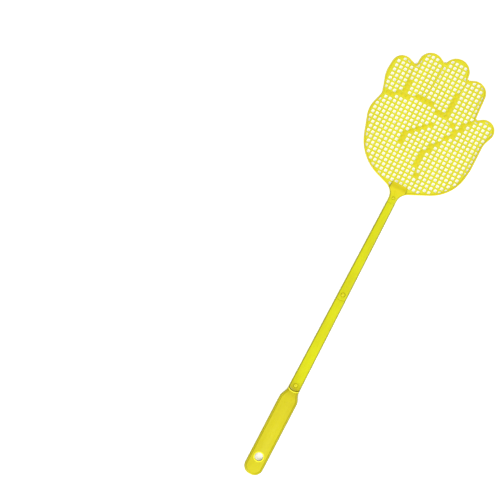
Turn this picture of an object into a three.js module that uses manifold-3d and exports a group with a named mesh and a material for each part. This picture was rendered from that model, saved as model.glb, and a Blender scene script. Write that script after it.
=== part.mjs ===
// Hand-shaped fly swatter that comes apart for packing, lying on its back.
// Millimetres. +Y runs from the grip to the fingertips, +X to the thumb's side, +Z out of the palm face.
//
// Four mouldings plug together in a row: grip, lower shaft, upper shaft and mesh head. The lower piece at
// each seam ends in a concave seat and a flat tongue. The upper piece's rounded end sits in the seat, and
// its socket takes the tongue. A sprung finger cut out of the tongue carries a domed button, which stands
// up through a round hole in the socket's front wall and locks the seam.
import * as THREE from 'three';
import { mergeVertices } from 'three/addons/utils/BufferGeometryUtils.js';
import Module from 'manifold-3d';

const wasm = await Module();
wasm.setup();

// Lengths along the swatter, from seam to seam
const GRIP_LENGTH = 88.4;
const LOWER_SHAFT_LENGTH = 96.6;
const UPPER_SHAFT_LENGTH = 103;
const HEAD_LENGTH = 152;

// Widths and thicknesses
const GRIP_WIDTH = 18.4;
const GRIP_THICKNESS = 5.6;
const SHAFT_BASE_WIDTH = 11.6;
const NECK_WIDTH = 8.4;
const SHAFT_THICKNESS = 5.0;
const SHAFT_BEVEL = 1.0;
const RIM_WIDTH = 1.9;
const RIM_THICKNESS = 2.4;
const PANEL_THICKNESS = 1.5;

// Grip
const GRIP_BEVEL = 1.2;
const GRIP_END_RADIUS = 8.2;
const SHOULDER_LENGTH = 11;
const HANGING_HOLE_RADIUS = 3.95;
const HANGING_HOLE_Y = 18.4;

// Plug joints
const CLEARANCE = 0.3;
const SOCKET_WALL = 1.0;
const SOCKET_SIDE_WALL = 1.15;
const SEAT_RADIUS = 8.2;
const TONGUE_LENGTH = 16;
const TONGUE_CORNER = 1.2;
const TONGUE_ROOT = 6;
const FINGER_THICKNESS = 0.8;
const FINGER_SLOT_GAP = 0.35;
const FINGER_TIP_BRIDGE = 2.5;
const FINGER_SIDE_RAIL = 1.1;
const BUTTON_FROM_SEAM = 5.7;
const BUTTON_PROUD = 0.25;
const BUTTON_CROWN = 0.6;
const BUTTON_INSET = 0.15;
const LARGEST_FINGER_WIDTH = 3.6;

// Mesh and creases of the palm
const MESH_PITCH_X = 4.6;
const MESH_PITCH_Y = 4.45;
const MESH_HOLE = 3.0;
const FIRST_ROW_BELOW_TIP = 6;
const HOLE_MARGIN = 1.0;
const CREASE_WIDTH = 2.2;
const CREASE_THICKNESS = 2.0;
const CREASE_FILLED_WIDTH = 4.4;
const CREASE_STEP = 7;

// Thick part of the neck, where the shaft's width flares into the palm
const FLARE_HALF_WIDTH = 8.6;
const FLARE_LENGTH = 22;
const FLARE_SLOPE_LENGTH = 4.6;

// An arc's chords stray from it by at most this much
const ARC_TOLERANCE = 0.16;
const SHORTEST_EDGE = 0.05;
const BUTTON_SIDES = 20;
const CROWN_STEPS = 4;
const CUT_MARGIN = 1;

// The hand's outline is a belt round these circles, counter-clockwise from the heel of the thumb, and a
// fillet on each side of the neck. A circle is [x, y above the neck seam, radius], with a negative radius
// where the outline is hollow. They are drawn for a hand of DRAWN_HAND_LENGTH and scaled to HEAD_LENGTH.
const DRAWN_HAND_LENGTH = 152;
const NECK_FILLET_RADIUS = 12.4;
const NECK_FILLET_Y = 3.6;
const HAND_CIRCLES = [
  [12.5, 59.5, 39.8], // heel of the thumb
  [31.0, 64.0, 22.0],
  [71.8, 86.2, -19.0], // thumb's root
  [46.4, 101.8, 10.4], // thumb
  [36.3, 108.9, -1.3],
  [21.9, 128.9, 11.8], // index finger
  [12.0, 138.8, -1.3],
  [-2.0, 139.4, 12.6], // middle finger
  [-15.6, 143.0, -1.3],
  [-26.3, 133.6, 12.1], // ring finger
  [-40.0, 129.6, -1.4],
  [-50.0, 120.4, 10.7], // little finger
  [-34.0, 112.5, 27.3],
  [-58.8, 89.6, -3.2], // little finger's root
  [-36.0, 72.0, 23.6],
  [-9.5, 62.5, 45.7], // heel of the palm
];

// Creases, each a smooth line through points [x, y above the neck seam]
const CREASES = [
  // roots of the four fingers
  [[-56, 90], [-39.3, 96.3], [-17.3, 101.5], [0.6, 98.4], [18.5, 92.6]],
  // between the fingers
  [[-39.8, 129], [-38.4, 112], [-36, 98.5]],
  [[-15.4, 143], [-15.6, 122], [-17, 102]],
  [[12, 138.5], [10.6, 122], [8.5, 98]],
  // round the thumb
  [[36, 108.5], [23.8, 88], [14.5, 72], [5.8, 56], [5.6, 42], [12.7, 31]],
  // middle of the palm
  [[-18.1, 56], [-16.6, 66.8], [-11.9, 73.1], [0.7, 84.7]],
];

const HAND_SCALE = HEAD_LENGTH / DRAWN_HAND_LENGTH;
const GRIP_SEAM = GRIP_LENGTH;
const MIDDLE_SEAM = GRIP_SEAM + LOWER_SHAFT_LENGTH;
const NECK_SEAM = MIDDLE_SEAM + UPPER_SHAFT_LENGTH;

const TONGUE_BACK = SOCKET_WALL + CLEARANCE;
const TONGUE_FRONT = SHAFT_THICKNESS - SOCKET_WALL - CLEARANCE;
const PANEL_BACK = (RIM_THICKNESS - PANEL_THICKNESS) / 2;

// ---- Solids ----

function toSolid(geometry) {
  const bare = geometry.clone();
  bare.deleteAttribute('normal');
  bare.deleteAttribute('uv');
  const merged = mergeVertices(bare);
  return new wasm.Manifold(new wasm.Mesh({
    numProp: 3,
    vertProperties: new Float32Array(merged.attributes.position.array),
    triVerts: new Uint32Array(merged.index.array),
  }));
}

function toGeometry(solid) {
  const mesh = solid.getMesh();
  const geometry = new THREE.BufferGeometry();
  geometry.setAttribute('position', new THREE.BufferAttribute(mesh.vertProperties, 3));
  geometry.setIndex(new THREE.BufferAttribute(mesh.triVerts, 1));
  geometry.computeVertexNormals();
  return geometry;
}

// A flat plate of the given outline between two heights.
function plate(shape, bottom, top) {
  const geometry = new THREE.ExtrudeGeometry(shape, { depth: top - bottom, bevelEnabled: false });
  geometry.translate(0, 0, bottom);
  return geometry;
}

// The same with both edges bevelled inside the outline.
function bevelledPlate(shape, top, bevel, bevelSegments) {
  const geometry = new THREE.ExtrudeGeometry(shape, {
    depth: top - 2 * bevel,
    bevelThickness: bevel,
    bevelSize: bevel,
    bevelOffset: -bevel,
    bevelSegments,
  });
  geometry.translate(0, 0, bevel);
  return geometry;
}

function polygon(points) {
  return new THREE.Shape(points.map(([x, y]) => new THREE.Vector2(x, y)));
}

function block(left, right, near, far, bottom, top) {
  const geometry = new THREE.BoxGeometry(right - left, far - near, top - bottom);
  geometry.translate((left + right) / 2, (near + far) / 2, (bottom + top) / 2);
  return geometry;
}

function arcSegments(radius, sweep) {
  const size = Math.abs(radius);
  const chord = Math.sqrt(8 * size * ARC_TOLERANCE);
  return Math.max(2, Math.ceil((size * Math.abs(sweep)) / chord));
}

function arcPoints(x, y, radius, from, to) {
  const count = arcSegments(radius, to - from);
  const points = [];
  for (let i = 0; i <= count; i += 1) {
    const angle = from + ((to - from) * i) / count;
    points.push([x + radius * Math.cos(angle), y + radius * Math.sin(angle)]);
  }
  return points;
}

// ---- Shaft and plug joints ----

function shaftWidth(y) {
  const along = (y - GRIP_SEAM) / (NECK_SEAM - GRIP_SEAM);
  return SHAFT_BASE_WIDTH + (NECK_WIDTH - SHAFT_BASE_WIDTH) * along;
}

function tongueWidth(seam) {
  return shaftWidth(seam + TONGUE_LENGTH) - 2 * (SOCKET_SIDE_WALL + CLEARANCE);
}

function fingerWidth(seam) {
  const room = tongueWidth(seam) - 2 * (FINGER_SIDE_RAIL + FINGER_SLOT_GAP);
  return Math.min(LARGEST_FINGER_WIDTH, room);
}

// Everything above a rounded end whose lowest point is at y, as wide as the widest end with a margin.
function aboveRoundedEnd(y, reach) {
  const halfWidth = SHAFT_BASE_WIDTH / 2 + CUT_MARGIN;
  const halfAngle = Math.asin(halfWidth / SEAT_RADIUS);
  const lowest = -Math.PI / 2;
  const outline = arcPoints(0, y + SEAT_RADIUS, SEAT_RADIUS, lowest - halfAngle, lowest + halfAngle);
  outline.push([halfWidth, y + reach], [-halfWidth, y + reach]);
  return toSolid(plate(polygon(outline), -CUT_MARGIN, GRIP_THICKNESS + CUT_MARGIN));
}

// The tongue has a slot for the sprung finger, open from face to face.
function tongue(seam) {
  const half = tongueWidth(seam) / 2;
  const tip = seam + TONGUE_LENGTH;
  const outline = [
    [half, seam - TONGUE_ROOT],
    [half, tip - TONGUE_CORNER],
    [half - TONGUE_CORNER, tip],
    [TONGUE_CORNER - half, tip],
    [-half, tip - TONGUE_CORNER],
    [-half, seam - TONGUE_ROOT],
  ];
  const shape = polygon(outline);
  const slotHalf = fingerWidth(seam) / 2 + FINGER_SLOT_GAP;
  const slot = arcPoints(0, seam + BUTTON_FROM_SEAM, slotHalf, -Math.PI, 0);
  slot.push([slotHalf, tip - FINGER_TIP_BRIDGE], [-slotHalf, tip - FINGER_TIP_BRIDGE]);
  shape.holes.push(polygon(slot));
  return toSolid(plate(shape, TONGUE_BACK, TONGUE_FRONT));
}

// A finger hinged at the tongue's tip, with its button at the free end.
function snapButton(seam) {
  const half = fingerWidth(seam) / 2;
  const buttonY = seam + BUTTON_FROM_SEAM;
  const root = seam + TONGUE_LENGTH - FINGER_TIP_BRIDGE - CLEARANCE;
  const outline = arcPoints(0, buttonY, half, -Math.PI, 0);
  outline.push([half, root], [-half, root]);
  const finger = toSolid(plate(polygon(outline), TONGUE_FRONT - FINGER_THICKNESS, TONGUE_FRONT));
  return toGeometry(finger.add(button(half - BUTTON_INSET, buttonY)));
}

// A round button standing on the finger, with a rounded crown.
function button(radius, y) {
  const bottom = TONGUE_FRONT - FINGER_THICKNESS / 2;
  const crownBase = SHAFT_THICKNESS + BUTTON_PROUD - BUTTON_CROWN;
  const profile = [new THREE.Vector2(0, bottom), new THREE.Vector2(radius, bottom)];
  for (let i = 0; i < CROWN_STEPS; i += 1) {
    const angle = (Math.PI / 2) * (i / CROWN_STEPS);
    profile.push(new THREE.Vector2(radius * Math.cos(angle), crownBase + BUTTON_CROWN * Math.sin(angle)));
  }
  profile.push(new THREE.Vector2(0, crownBase + BUTTON_CROWN));
  const geometry = new THREE.LatheGeometry(profile, BUTTON_SIDES);
  geometry.rotateX(Math.PI / 2);
  geometry.translate(0, y, 0);
  return toSolid(geometry);
}

// The pocket that takes a tongue, and the round hole its button stands in.
function socket(seam) {
  const half = tongueWidth(seam) / 2 + CLEARANCE;
  const far = seam + TONGUE_LENGTH + CLEARANCE;
  const back = SOCKET_WALL;
  const front = SHAFT_THICKNESS - SOCKET_WALL;
  const pocket = toSolid(block(-half, half, seam - CUT_MARGIN, far, back, front));
  const holeRadius = fingerWidth(seam) / 2 + CLEARANCE;
  const hole = new THREE.CylinderGeometry(holeRadius, holeRadius, SHAFT_THICKNESS, BUTTON_SIDES);
  hole.rotateX(Math.PI / 2);
  hole.translate(0, seam + BUTTON_FROM_SEAM, SHAFT_THICKNESS);
  return pocket.add(toSolid(hole));
}

function shaftSection(lowerSeam, upperSeam) {
  const near = lowerSeam - CUT_MARGIN;
  const far = upperSeam + SEAT_RADIUS;
  const outline = polygon([
    [shaftWidth(near) / 2, near],
    [shaftWidth(far) / 2, far],
    [-shaftWidth(far) / 2, far],
    [-shaftWidth(near) / 2, near],
  ]);
  return toSolid(bevelledPlate(outline, SHAFT_THICKNESS, SHAFT_BEVEL, 1))
    .intersect(aboveRoundedEnd(lowerSeam, far - near))
    .subtract(aboveRoundedEnd(upperSeam - CLEARANCE, 2 * SEAT_RADIUS))
    .subtract(socket(lowerSeam))
    .add(tongue(upperSeam));
}

// ---- Grip ----

function gripOutline() {
  const half = GRIP_WIDTH / 2;
  const top = GRIP_SEAM + SEAT_RADIUS / 2;
  const shoulder = GRIP_SEAM - SHOULDER_LENGTH;
  const neck = SHAFT_BASE_WIDTH / 2;
  const shape = new THREE.Shape();
  shape.moveTo(0, 0);
  shape.lineTo(half - GRIP_END_RADIUS, 0);
  shape.absarc(half - GRIP_END_RADIUS, GRIP_END_RADIUS, GRIP_END_RADIUS, -Math.PI / 2, 0, false);
  shape.lineTo(half, shoulder);
  shape.bezierCurveTo(half, shoulder + 5, neck + 0.6, GRIP_SEAM - 4, neck, GRIP_SEAM);
  shape.lineTo(neck, top);
  shape.lineTo(-neck, top);
  shape.lineTo(-neck, GRIP_SEAM);
  shape.bezierCurveTo(-neck - 0.6, GRIP_SEAM - 4, -half, shoulder + 5, -half, shoulder);
  shape.lineTo(-half, GRIP_END_RADIUS);
  shape.absarc(GRIP_END_RADIUS - half, GRIP_END_RADIUS, GRIP_END_RADIUS, Math.PI, 1.5 * Math.PI, false);
  shape.closePath();
  return shape;
}

function grip() {
  const outline = gripOutline();
  const hole = new THREE.Path();
  hole.absarc(0, HANGING_HOLE_Y, HANGING_HOLE_RADIUS, 0, 2 * Math.PI, true);
  outline.holes.push(hole);
  return toSolid(bevelledPlate(outline, GRIP_THICKNESS, GRIP_BEVEL, 2))
    .subtract(aboveRoundedEnd(GRIP_SEAM - CLEARANCE, 2 * SEAT_RADIUS))
    .add(tongue(GRIP_SEAM));
}

// ---- Head ----

// All the circles round which the head's outline runs, with the two fillets at the neck first and last.
function outlineCircles() {
  const hand = HAND_CIRCLES.map((circle) => circle.map((size) => size * HAND_SCALE));
  const filletRadius = NECK_FILLET_RADIUS * HAND_SCALE;
  const filletX = NECK_WIDTH / 2 + filletRadius;
  const filletY = NECK_FILLET_Y * HAND_SCALE;
  return [[filletX, filletY, -filletRadius], ...hand, [-filletX, filletY, -filletRadius]];
}

// Heading of the straight line that touches two circles of the belt, which pass on their signed sides.
function tangentHeading([x1, y1, r1], [x2, y2, r2]) {
  const direction = Math.atan2(y2 - y1, x2 - x1);
  return direction + Math.asin((r1 - r2) / Math.hypot(x2 - x1, y2 - y1));
}

// The head's outline as points, moved inwards by inset, open below the neck.
function handOutline(inset) {
  const circles = outlineCircles().map(([x, y, radius]) => [x, y, radius - inset]);
  const headings = [Math.PI / 2];
  for (let i = 0; i < circles.length - 1; i += 1) {
    headings.push(tangentHeading(circles[i], circles[i + 1]));
  }
  headings.push(-Math.PI / 2);
  const points = [];
  circles.forEach(([x, y, radius], i) => {
    const turnsLeft = radius > 0;
    const full = turnsLeft ? 2 * Math.PI : -2 * Math.PI;
    const sweep = ((headings[i + 1] - headings[i]) % full + full) % full;
    const start = headings[i] - Math.PI / 2;
    points.push(...arcPoints(x, y, radius, start, start + sweep));
  });
  return points
    .filter(([x, y], i) => i === 0 || Math.hypot(x - points[i - 1][0], y - points[i - 1][1]) > SHORTEST_EDGE)
    .map(([x, y]) => [x, y + NECK_SEAM]);
}

function isInside([x, y], outline) {
  let inside = false;
  outline.forEach(([x1, y1], i) => {
    const [x2, y2] = outline[(i + 1) % outline.length];
    if ((y1 > y) !== (y2 > y) && x < x1 + ((x2 - x1) * (y - y1)) / (y2 - y1)) {
      inside = !inside;
    }
  });
  return inside;
}

// Square holes on a grid that is centred on the shaft and counted down from the middle fingertip. None is
// cut where a crease would fill it.
function meshHoles() {
  const clear = handOutline(RIM_WIDTH + HOLE_MARGIN);
  const filled = creaseOutlines(CREASE_FILLED_WIDTH);
  const columns = Math.ceil(HEAD_LENGTH / MESH_PITCH_X);
  const rows = Math.ceil(HEAD_LENGTH / MESH_PITCH_Y);
  const half = MESH_HOLE / 2;
  const holes = [];
  for (let row = 0; row < rows; row += 1) {
    const y = NECK_SEAM + HEAD_LENGTH - FIRST_ROW_BELOW_TIP - row * MESH_PITCH_Y;
    for (let column = -columns; column <= columns; column += 1) {
      const x = column * MESH_PITCH_X;
      if (isInside([x, y], clear) && !filled.some((crease) => isInside([x, y], crease))) {
        holes.push(toSolid(block(x - half, x + half, y - half, y + half, -CUT_MARGIN, RIM_THICKNESS)));
      }
    }
  }
  return holes;
}

// A smooth line of the given width through the points, as the points of a flat outline.
function creaseOutline(points, width) {
  const knots = points.map(([x, y]) => new THREE.Vector3(x, y, 0));
  const curve = new THREE.CatmullRomCurve3(knots, false, 'centripetal');
  const count = Math.ceil(curve.getLength() / CREASE_STEP);
  const left = [];
  const right = [];
  for (let i = 0; i <= count; i += 1) {
    const point = curve.getPointAt(i / count);
    const along = curve.getTangentAt(i / count).multiplyScalar(width / 2);
    left.push([point.x - along.y, point.y + along.x]);
    right.unshift([point.x + along.y, point.y - along.x]);
  }
  return [...right.reverse(), ...left.reverse()];
}

function creaseOutlines(width) {
  return CREASES.map((line) => {
    const placed = line.map(([x, y]) => [x * HAND_SCALE, y * HAND_SCALE + NECK_SEAM]);
    return creaseOutline(placed, width);
  });
}

function creases() {
  const bottom = (RIM_THICKNESS - CREASE_THICKNESS) / 2;
  const top = bottom + CREASE_THICKNESS;
  return creaseOutlines(CREASE_WIDTH).map((line) => toSolid(plate(polygon(line), bottom, top)));
}

// The bead round the hand, closed across the neck by a bar that the neck covers.
function rim() {
  const barY = NECK_SEAM + NECK_FILLET_Y * HAND_SCALE - RIM_WIDTH;
  const shape = polygon([[-NECK_WIDTH / 2, barY], [NECK_WIDTH / 2, barY], ...handOutline(0)]);
  shape.holes.push(polygon(handOutline(RIM_WIDTH)));
  return toSolid(plate(shape, 0, RIM_THICKNESS));
}

// The thick neck, cut to its side view: level over the socket, then sloping down to the mesh.
function neck() {
  const outline = [
    [-NECK_WIDTH / 2, NECK_SEAM - CUT_MARGIN],
    [NECK_WIDTH / 2, NECK_SEAM - CUT_MARGIN],
    ...handOutline(0),
  ];
  const levelEnd = FLARE_LENGTH - FLARE_SLOPE_LENGTH;
  const sideView = polygon([
    [-CUT_MARGIN, 0],
    [FLARE_LENGTH, 0],
    [FLARE_LENGTH, RIM_THICKNESS],
    [levelEnd, SHAFT_THICKNESS],
    [-CUT_MARGIN, SHAFT_THICKNESS],
  ]);
  const slab = new THREE.ExtrudeGeometry(sideView, { depth: 2 * FLARE_HALF_WIDTH, bevelEnabled: false });
  slab.rotateX(Math.PI / 2);
  slab.rotateZ(Math.PI / 2);
  slab.translate(-FLARE_HALF_WIDTH, NECK_SEAM, 0);
  return toSolid(bevelledPlate(polygon(outline), SHAFT_THICKNESS, SHAFT_BEVEL, 1))
    .intersect(toSolid(slab))
    .intersect(aboveRoundedEnd(NECK_SEAM, FLARE_LENGTH + SEAT_RADIUS));
}

function head() {
  let solid = toSolid(plate(polygon(handOutline(RIM_WIDTH / 2)), PANEL_BACK, PANEL_BACK + PANEL_THICKNESS));
  meshHoles().forEach((hole) => {
    solid = solid.subtract(hole);
  });
  [rim(), neck(), ...creases()].forEach((piece) => {
    solid = solid.add(piece);
  });
  return solid.subtract(socket(NECK_SEAM));
}

// ---- Assembly ----

const LEMON = 0xe1de1c;
const GRIP_LEMON = 0xded228;
const PALE_LEMON = 0xe4d64c;

function moulding(name, geometry, colour) {
  const material = new THREE.MeshStandardMaterial({ color: colour, roughness: 0.38, metalness: 0 });
  const mesh = new THREE.Mesh(geometry, material);
  mesh.name = name;
  return mesh;
}

const swatter = new THREE.Group();
swatter.add(moulding('grip', toGeometry(grip()), GRIP_LEMON));
swatter.add(moulding('grip_snap_button', snapButton(GRIP_SEAM), GRIP_LEMON));
swatter.add(moulding('lower_shaft', toGeometry(shaftSection(GRIP_SEAM, MIDDLE_SEAM)), LEMON));
swatter.add(moulding('middle_snap_button', snapButton(MIDDLE_SEAM), LEMON));
swatter.add(moulding('upper_shaft', toGeometry(shaftSection(MIDDLE_SEAM, NECK_SEAM)), LEMON));
swatter.add(moulding('neck_snap_button', snapButton(NECK_SEAM), LEMON));
swatter.add(moulding('head', toGeometry(head()), PALE_LEMON));

// The origin is the middle of the swatter's outline, on the surface that its back lies on.
const box = new THREE.Box3().setFromObject(swatter);
swatter.position.set(-(box.min.x + box.max.x) / 2, -(box.min.y + box.max.y) / 2, -box.min.z);

export default swatter;
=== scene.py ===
"""Hand-shaped plastic fly swatter, lying on a pale table and seen from above.

Each moulding is built in millimetres round its CAD node and written out in metres: the plates and bars are
lofted with rounded edges, the palm is a grid of rounded holes clipped to the hand, and sockets, tongues and
holes are cut and joined with exact booleans.
"""
import math

import bmesh
import bpy
import numpy as np
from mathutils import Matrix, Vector


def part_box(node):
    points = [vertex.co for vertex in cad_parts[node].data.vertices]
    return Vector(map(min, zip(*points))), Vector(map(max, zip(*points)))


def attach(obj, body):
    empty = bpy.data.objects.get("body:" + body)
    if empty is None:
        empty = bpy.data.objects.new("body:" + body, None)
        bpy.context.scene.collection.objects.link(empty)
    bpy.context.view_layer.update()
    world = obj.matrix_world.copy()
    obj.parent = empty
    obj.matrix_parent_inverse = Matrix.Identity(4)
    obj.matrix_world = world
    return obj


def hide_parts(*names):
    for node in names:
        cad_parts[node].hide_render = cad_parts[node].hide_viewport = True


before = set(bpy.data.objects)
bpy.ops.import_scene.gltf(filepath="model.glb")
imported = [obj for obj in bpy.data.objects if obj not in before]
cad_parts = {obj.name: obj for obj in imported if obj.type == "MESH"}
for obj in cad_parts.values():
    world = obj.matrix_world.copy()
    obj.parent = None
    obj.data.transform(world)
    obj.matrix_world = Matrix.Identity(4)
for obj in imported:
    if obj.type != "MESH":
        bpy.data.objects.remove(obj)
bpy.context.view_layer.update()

# ---- Sizes in millimetres ----

MM = 0.001
# How far a cutter reaches past what it cuts
CUT_MARGIN = 1.0

# Plug joints
TONGUE_LENGTH = 16.0
TONGUE_ROOT = 6.0
TONGUE_BACK, TONGUE_FRONT = 1.3, 3.7
TONGUE_EDGE = 0.3
TONGUE_CORNER = 1.4
POCKET_BACK, POCKET_FRONT = 1.0, 4.0
POCKET_BELOW_SEAM = 3.0
CLEARANCE = 0.3
SIDE_WALL = 1.15
SIDE_RAIL = 1.1
SLOT_GAP = 0.35
TIP_BRIDGE = 2.5
FINGER_THICKNESS = 0.8
FINGER_EDGE = 0.18
LARGEST_FINGER = 3.6
BUTTON_FROM_SEAM = 5.7
BUTTON_PROUD = 0.4
BUTTON_CROWN = 0.85
BUTTON_GAP = 0.08
BUTTON_ROOT = 0.3
# The round hole's cutter starts inside the pocket and takes off the hole's sharp edge
BUTTON_HOLE_START = 2.5
BUTTON_HOLE_EDGE_WIDTH = 0.15
BUTTON_HOLE_EDGE_DEPTH = 0.2
SEAT_RADIUS = 8.2
SEAM_GAP = 0.12

# Shaft
SHAFT_THICKNESS = 5.0
SHAFT_BASE_WIDTH = 11.6
NECK_WIDTH = 8.4
SHAFT_CHAMFER = 1.0
LEAST_CHAMFER = 0.2
CORNER_ROUND = 0.45
SHAFT_CROWN = 0.16
END_ROUND = 0.25
FAR_END_ROUND = 0.12
GRIP_END_DROP = 0.8
OTHER_END_DROP = 0.2
END_DROP_LENGTH = 2.8
# Cross-sections follow a seam's arc beside it, and are straight again this far away
BEND_LENGTH = 12.0

# Grip
GRIP_WIDTH = 18.4
GRIP_THICKNESS = 5.6
GRIP_END_RADIUS = 8.2
GRIP_BACK_EDGE = (0.9, 0.8)
GRIP_EDGE_WIDTH = 1.5
GRIP_EDGE_DEPTH = 1.3
GRIP_BEVEL = math.radians(52)
GROOVE_WIDTH = 0.7
GROOVE_DEPTH = 0.3
SHOULDER_LENGTH = 11.0
SHOULDER_FULLNESS = 5.0
NECK_FULLNESS = 4.0
NECK_LEAN = 0.6
HOLE_RADIUS = 3.95
HOLE_FROM_END = 18.4
HOLE_FLARE = 0.6
LIP_FROM_SEAT = 0.6
LIP_FROM_SIDE = 0.15
LIP_HALF_HEIGHT = 0.42
LIP_SUNK = 0.12
BEAD_HALF_WIDTH = 0.5
BEAD_HEIGHT = 0.3
BEAD_SUNK = 0.1

# Head
PANEL_BACK, PANEL_FRONT = 0.45, 1.95
RIM_WIDTH = 1.9
RIM_THICKNESS = 2.4
RIM_SQUARENESS = 0.7
BEAD_SIDES = 16
PANEL_UNDER_RIM = 0.45 * RIM_WIDTH
HOLE_UNDER_RIM = 0.4
PITCH_X, PITCH_Y = 4.6, 4.45
MESH_COLUMNS = range(-15, 16)
MESH_ROWS = range(-2, 34)
HOLE_SIZE = 2.85
HOLE_CORNER = 0.55
CORNER_POINTS = 4
BAR_ROUND = 0.38
FIRST_ROW_BELOW_TIP = 6.0
CREASE_WIDTH = 1.8
CREASE_FILLED_WIDTH = 3.0
CREASE_BACK, CREASE_FRONT = 0.35, 2.15
CREASE_SQUARENESS = 0.75
CREASE_END_SIZE = 0.1
PAD_FRONT = 2.3
FLARE_HALF_WIDTH = 8.6
FLARE_LENGTH = 20.5
FLARE_SLOPE = 6.5
FLARE_ABOVE_PANEL = 0.35
FLARE_BACK = 0.25
FLARE_CHAMFER_LOSS = 0.55
FLARE_TAPER_START = 15.0
FLARE_TAPER = 0.9
FLARE_HOLE_MARGIN = 0.8
# The corner between the flare and the rim, on the thumb's side, is too small for a hole
FILLED_CORNER_WIDTH = 12.0
FILLED_CORNER_TOP = 18.5

# ---- Places, from the frame ----

AXIS_X = (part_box("grip")[0][0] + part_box("grip")[1][0]) / 2 / MM
GRIP_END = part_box("grip")[0][1] / MM
GRIP_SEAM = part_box("grip")[1][1] / MM - TONGUE_LENGTH
MIDDLE_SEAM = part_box("lower_shaft")[1][1] / MM - TONGUE_LENGTH
NECK_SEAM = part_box("upper_shaft")[1][1] / MM - TONGUE_LENGTH
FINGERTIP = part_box("head")[1][1] / MM

# The hand's outline runs like a belt round these circles: x from the axis, y above the neck seam and
# radius, negative where the outline is hollow. The first and last are the neck's fillets.
NECK_FILLET = 12.4
HAND_CIRCLES = [
    (NECK_WIDTH / 2 + NECK_FILLET, 3.6, -NECK_FILLET),
    (12.5, 59.5, 39.8),
    (31.0, 64.0, 22.0),
    (71.8, 86.2, -19.0),
    (46.4, 101.8, 10.4),
    (36.3, 108.9, -1.3),
    (21.9, 128.9, 11.8),
    (12.0, 138.8, -1.3),
    (-2.0, 139.4, 12.6),
    (-15.6, 143.0, -1.3),
    (-26.3, 133.6, 12.1),
    (-40.0, 129.6, -1.4),
    (-50.0, 120.4, 10.7),
    (-34.0, 112.5, 27.3),
    (-58.8, 89.6, -3.2),
    (-36.0, 72.0, 23.6),
    (-9.5, 62.5, 45.7),
    (-NECK_WIDTH / 2 - NECK_FILLET, 3.6, -NECK_FILLET),
]
CREASES = [
    [(-56, 90), (-39.3, 96.3), (-17.3, 101.5), (0.6, 98.4), (18.5, 92.6)],
    [(-39.8, 129), (-38.4, 112), (-36, 98.5)],
    [(-15.4, 143), (-15.6, 122), (-17, 102)],
    [(12, 138.5), (10.6, 122), (8.5, 98)],
    [(36, 108.5), (23.8, 88), (14.5, 72), (5.8, 56), (5.6, 42), (12.7, 31)],
    [(-18.1, 56), (-16.6, 66.8), (-11.9, 73.1), (0.7, 84.7)],
]


# ---- Mesh tools ----

def mesh_object(name, vertices, faces):
    """A closed mesh object in millimetres, faces turned outwards."""
    mesh = bpy.data.meshes.new(name)
    mesh.from_pydata([tuple(v) for v in vertices], [], faces)
    work = bmesh.new()
    work.from_mesh(mesh)
    bmesh.ops.recalc_face_normals(work, faces=work.faces)
    work.to_mesh(mesh)
    work.free()
    thing = bpy.data.objects.new(name, mesh)
    bpy.context.scene.collection.objects.link(thing)
    return thing


def combine(target, others, operation):
    """Joins or cuts target with the other closed meshes, which are used up."""
    for other in others:
        modifier = target.modifiers.new("combine", "BOOLEAN")
        modifier.operation = operation
        modifier.solver = "MANIFOLD"
        modifier.object = other
        shape = target.evaluated_get(bpy.context.evaluated_depsgraph_get())
        result = bpy.data.meshes.new_from_object(shape)
        target.modifiers.clear()
        target.data = result
        bpy.data.objects.remove(other)
    return target


def strips(ring, first):
    """An end face in strips from the front of a bar's section straight to its back, so that it can bend."""
    count = len(ring)

    def mismatch(turn):
        return sum(abs(ring[i][0] - ring[(turn - i) % count][0]) for i in range(count))

    turn = min(range(count), key=mismatch)
    ahead, behind = (turn + 1) // 2, turn // 2
    faces = []
    while ahead + 1 <= behind - 1 + count:
        corners = [first + index % count for index in (ahead, ahead + 1, behind - 1, behind)]
        faces.append(tuple(dict.fromkeys(corners)))
        ahead, behind = ahead + 1, behind - 1
    return faces


def loft(name, rings, bent_ends=False):
    """A closed skin over rings that all have the same number of points."""
    count = len(rings[0])
    vertices = [point for ring in rings for point in ring]
    faces = []
    for r in range(len(rings) - 1):
        for i in range(count):
            j = (i + 1) % count
            faces.append((r * count + i, r * count + j, (r + 1) * count + j, (r + 1) * count + i))
    last = (len(rings) - 1) * count
    if bent_ends:
        faces += strips(rings[0], 0) + strips(rings[-1], last)
    else:
        faces.append(tuple(reversed(range(count))))
        faces.append(tuple(range(last, last + count)))
    return mesh_object(name, vertices, faces)


def closed_sweep(name, rings):
    """A ring-shaped skin whose last section joins its first."""
    count, total = len(rings[0]), len(rings)
    vertices = [point for ring in rings for point in ring]
    faces = []
    for r in range(total):
        s = (r + 1) % total
        for i in range(count):
            j = (i + 1) % count
            faces.append((r * count + i, r * count + j, s * count + j, s * count + i))
    return mesh_object(name, vertices, faces)


def prism(name, outline, back, front):
    return loft(name, [[(x, y, z) for x, y in outline] for z in (back, front)])


def revolve(name, profile, x, y, sides=40):
    """A solid of revolution about a vertical axis, from (radius, z) pairs."""
    rings = []
    for radius, z in profile:
        turn = [2 * math.pi * k / sides for k in range(sides)]
        rings.append([(x + radius * math.cos(a), y + radius * math.sin(a), z) for a in turn])
    return loft(name, rings)


def arc(x, y, radius, start, end, step=0.6):
    """Points along an arc, about step apart."""
    count = max(3, math.ceil(abs(radius * (end - start)) / step))
    angles = [start + (end - start) * k / count for k in range(count + 1)]
    return [(x + radius * math.cos(a), y + radius * math.sin(a)) for a in angles]


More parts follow.
